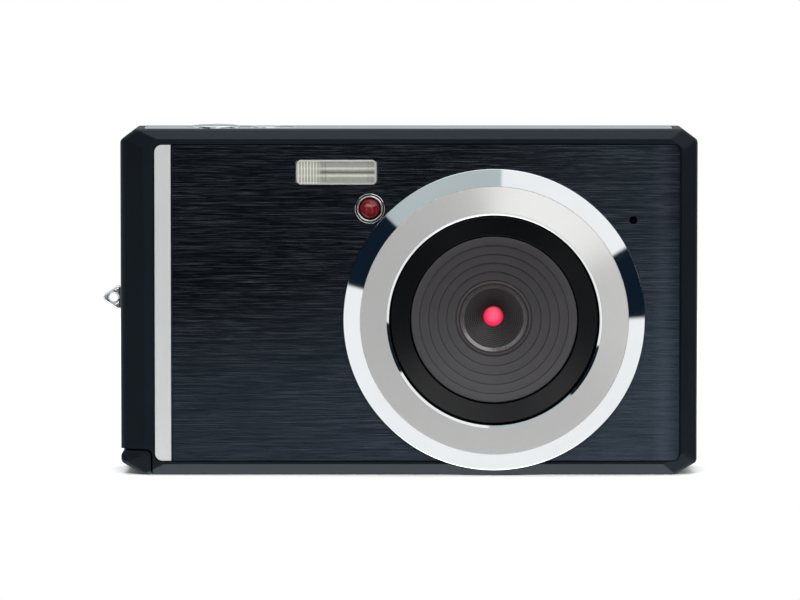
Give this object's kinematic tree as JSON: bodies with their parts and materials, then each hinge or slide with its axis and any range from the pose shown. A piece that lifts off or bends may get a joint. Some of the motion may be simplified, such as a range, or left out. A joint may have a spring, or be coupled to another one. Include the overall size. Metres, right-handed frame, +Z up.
{
  "type": "compact digital camera",
  "caption": "Slim pocket camera: flat two-part shell, brushed front plate, raised lens ring, flash window, top buttons, rear screen with keys, hinged battery door and tripod socket.",
  "frame": {"origin": "on the flat base, in the middle of the casing's width and depth", "axes": "+X to the right seen from the front, +Y from the front to the back, +Z up"},
  "size_m": [0.0939, 0.0232, 0.0551],
  "materials": {
    "shell": "fine-grained semi-matte blue-black moulding",
    "dark_plate": "horizontally brushed, dark blue-black anodised",
    "silver_strip": "satin silver",
    "lens_ring": "polished slopes with a brushed flat",
    "bright_trim": "bright plated",
    "back_keys": "satin plated plastic",
    "gloss_black": "polished black",
    "lens_grey": "matt charcoal grey",
    "clear_glass": "coated optical glass",
    "filter_glass": "pink-red interference coating",
    "lamp_red": "translucent red",
    "clear_plastic": "clear, ribbed on the inside",
    "mirror_foil": "polished reflector",
    "plain_steel": "plated steel",
    "contact_brass": "gold-flashed contacts",
    "circuit_board": "green solder mask",
    "dark_component": "matt black moulding",
    "battery_case": "grey-blue wrap",
    "card_case": "blue moulding",
    "soft_rubber": "moulded silicone",
    "screen_glass": "gloss black window",
    "display": "dark display"
  },
  "bodies": {
    "casing": {"front_cover": "shell", "middle_frame": "shell", "back_cover": "shell", "face_plate": "dark_plate", "accent_strip": "silver_strip", "lens_trim_ring": "lens_ring", "top_trim": "bright_trim", "left_trim": "bright_trim", "right_trim": "bright_trim", "strap_eyelet": "bright_trim", "timer_lamp_bezel": "bright_trim", "lens_bezel_ring": "gloss_black", "lens_hood": "lens_grey", "lens_barrel": "lens_grey", "lens_holder": "lens_grey", "battery_bay": "lens_grey", "front_lens_element": "clear_glass", "rear_lens_element": "clear_glass", "flash_tube": "clear_glass", "infrared_filter": "filter_glass", "timer_lamp_lens": "lamp_red", "flash_window": "clear_plastic", "timer_lamp_diode": "clear_plastic", "status_lamp": "clear_plastic", "flash_reflector": "mirror_foil", "tripod_bush": "plain_steel", "base_screw_1": "plain_steel", "base_screw_2": "plain_steel", "side_screw_1": "plain_steel", "side_screw_2": "plain_steel", "shutter_spring": "plain_steel", "power_spring": "plain_steel", "door_hinge_pin": "plain_steel", "usb_socket": "plain_steel", "card_socket": "plain_steel", "microphone": "plain_steel", "battery_contacts": "contact_brass", "main_board": "circuit_board", "sensor_board": "circuit_board", "top_switch_board": "circuit_board", "processor_chip": "dark_component", "image_sensor": "dark_component", "flash_capacitor": "dark_component", "speaker": "dark_component", "battery": "battery_case", "keypad_mat": "soft_rubber", "screen_window": "screen_glass", "lcd_panel": "display"},
    "battery_door": {"battery_door": "shell"},
    "shutter": {"shutter_button": "bright_trim"},
    "power": {"power_button": "bright_trim"},
    "rocker": {"zoom_rocker": "back_keys"},
    "menu_key": {"menu_button": "back_keys"},
    "mode_key": {"mode_button": "back_keys"},
    "playback_key": {"playback_button": "back_keys"},
    "delete_key": {"delete_button": "back_keys"},
    "pad_carrier": {"navigation_carrier": "soft_rubber"},
    "pad_ring": {"navigation_ring": "back_keys"},
    "ok_key": {"ok_button": "back_keys"},
    "card": {"memory_card": "card_case"}
  },
  "joints": [
    {"name": "battery_door_hinge", "type": "hinge", "parent": "casing", "child": "battery_door", "pos_m": [-0.04425, 0, 0.00295], "axis": [0, 1, 0], "range_deg": [0, 95]},
    {"name": "shutter_press", "type": "slide", "parent": "casing", "child": "shutter", "axis": [0, 0, -1], "range_m": [0, 0.0006], "stiffness_N_per_m": 400, "deforming": ["shutter_spring"]},
    {"name": "power_press", "type": "slide", "parent": "casing", "child": "power", "axis": [0, 0, -1], "range_m": [0, 0.0005], "stiffness_N_per_m": 400, "deforming": ["power_spring"]},
    {"name": "zoom_rock", "type": "hinge", "parent": "casing", "child": "rocker", "pos_m": [-0.0285, 0.008, 0.0457], "axis": [0, 0, 1], "range_deg": [-5, 5], "stiffness_Nm_per_rad": 0.02},
    {"name": "menu_press", "type": "slide", "parent": "casing", "child": "menu_key", "axis": [0, -1, 0], "range_m": [0, 0.0005], "stiffness_N_per_m": 400},
    {"name": "mode_press", "type": "slide", "parent": "casing", "child": "mode_key", "axis": [0, -1, 0], "range_m": [0, 0.0005], "stiffness_N_per_m": 400},
    {"name": "playback_press", "type": "slide", "parent": "casing", "child": "playback_key", "axis": [0, -1, 0], "range_m": [0, 0.0005], "stiffness_N_per_m": 400},
    {"name": "delete_press", "type": "slide", "parent": "casing", "child": "delete_key", "axis": [0, -1, 0], "range_m": [0, 0.0005], "stiffness_N_per_m": 400},
    {"name": "pad_tilt_up_down", "type": "hinge", "parent": "casing", "child": "pad_carrier", "pos_m": [-0.0285, 0.0083, 0.0245], "axis": [1, 0, 0], "range_deg": [-3, 3], "stiffness_Nm_per_rad": 0.03},
    {"name": "pad_tilt_left_right", "type": "hinge", "parent": "pad_carrier", "child": "pad_ring", "pos_m": [-0.0285, 0.0083, 0.0245], "axis": [0, 0, 1], "range_deg": [-3, 3], "stiffness_Nm_per_rad": 0.03},
    {"name": "ok_press", "type": "slide", "parent": "casing", "child": "ok_key", "axis": [0, -1, 0], "range_m": [0, 0.0005], "stiffness_N_per_m": 400},
    {"name": "memory_card_push", "type": "slide", "parent": "casing", "child": "card", "axis": [0, 0, 1], "range_m": [0, 0.001], "stiffness_N_per_m": 300}
  ]
}
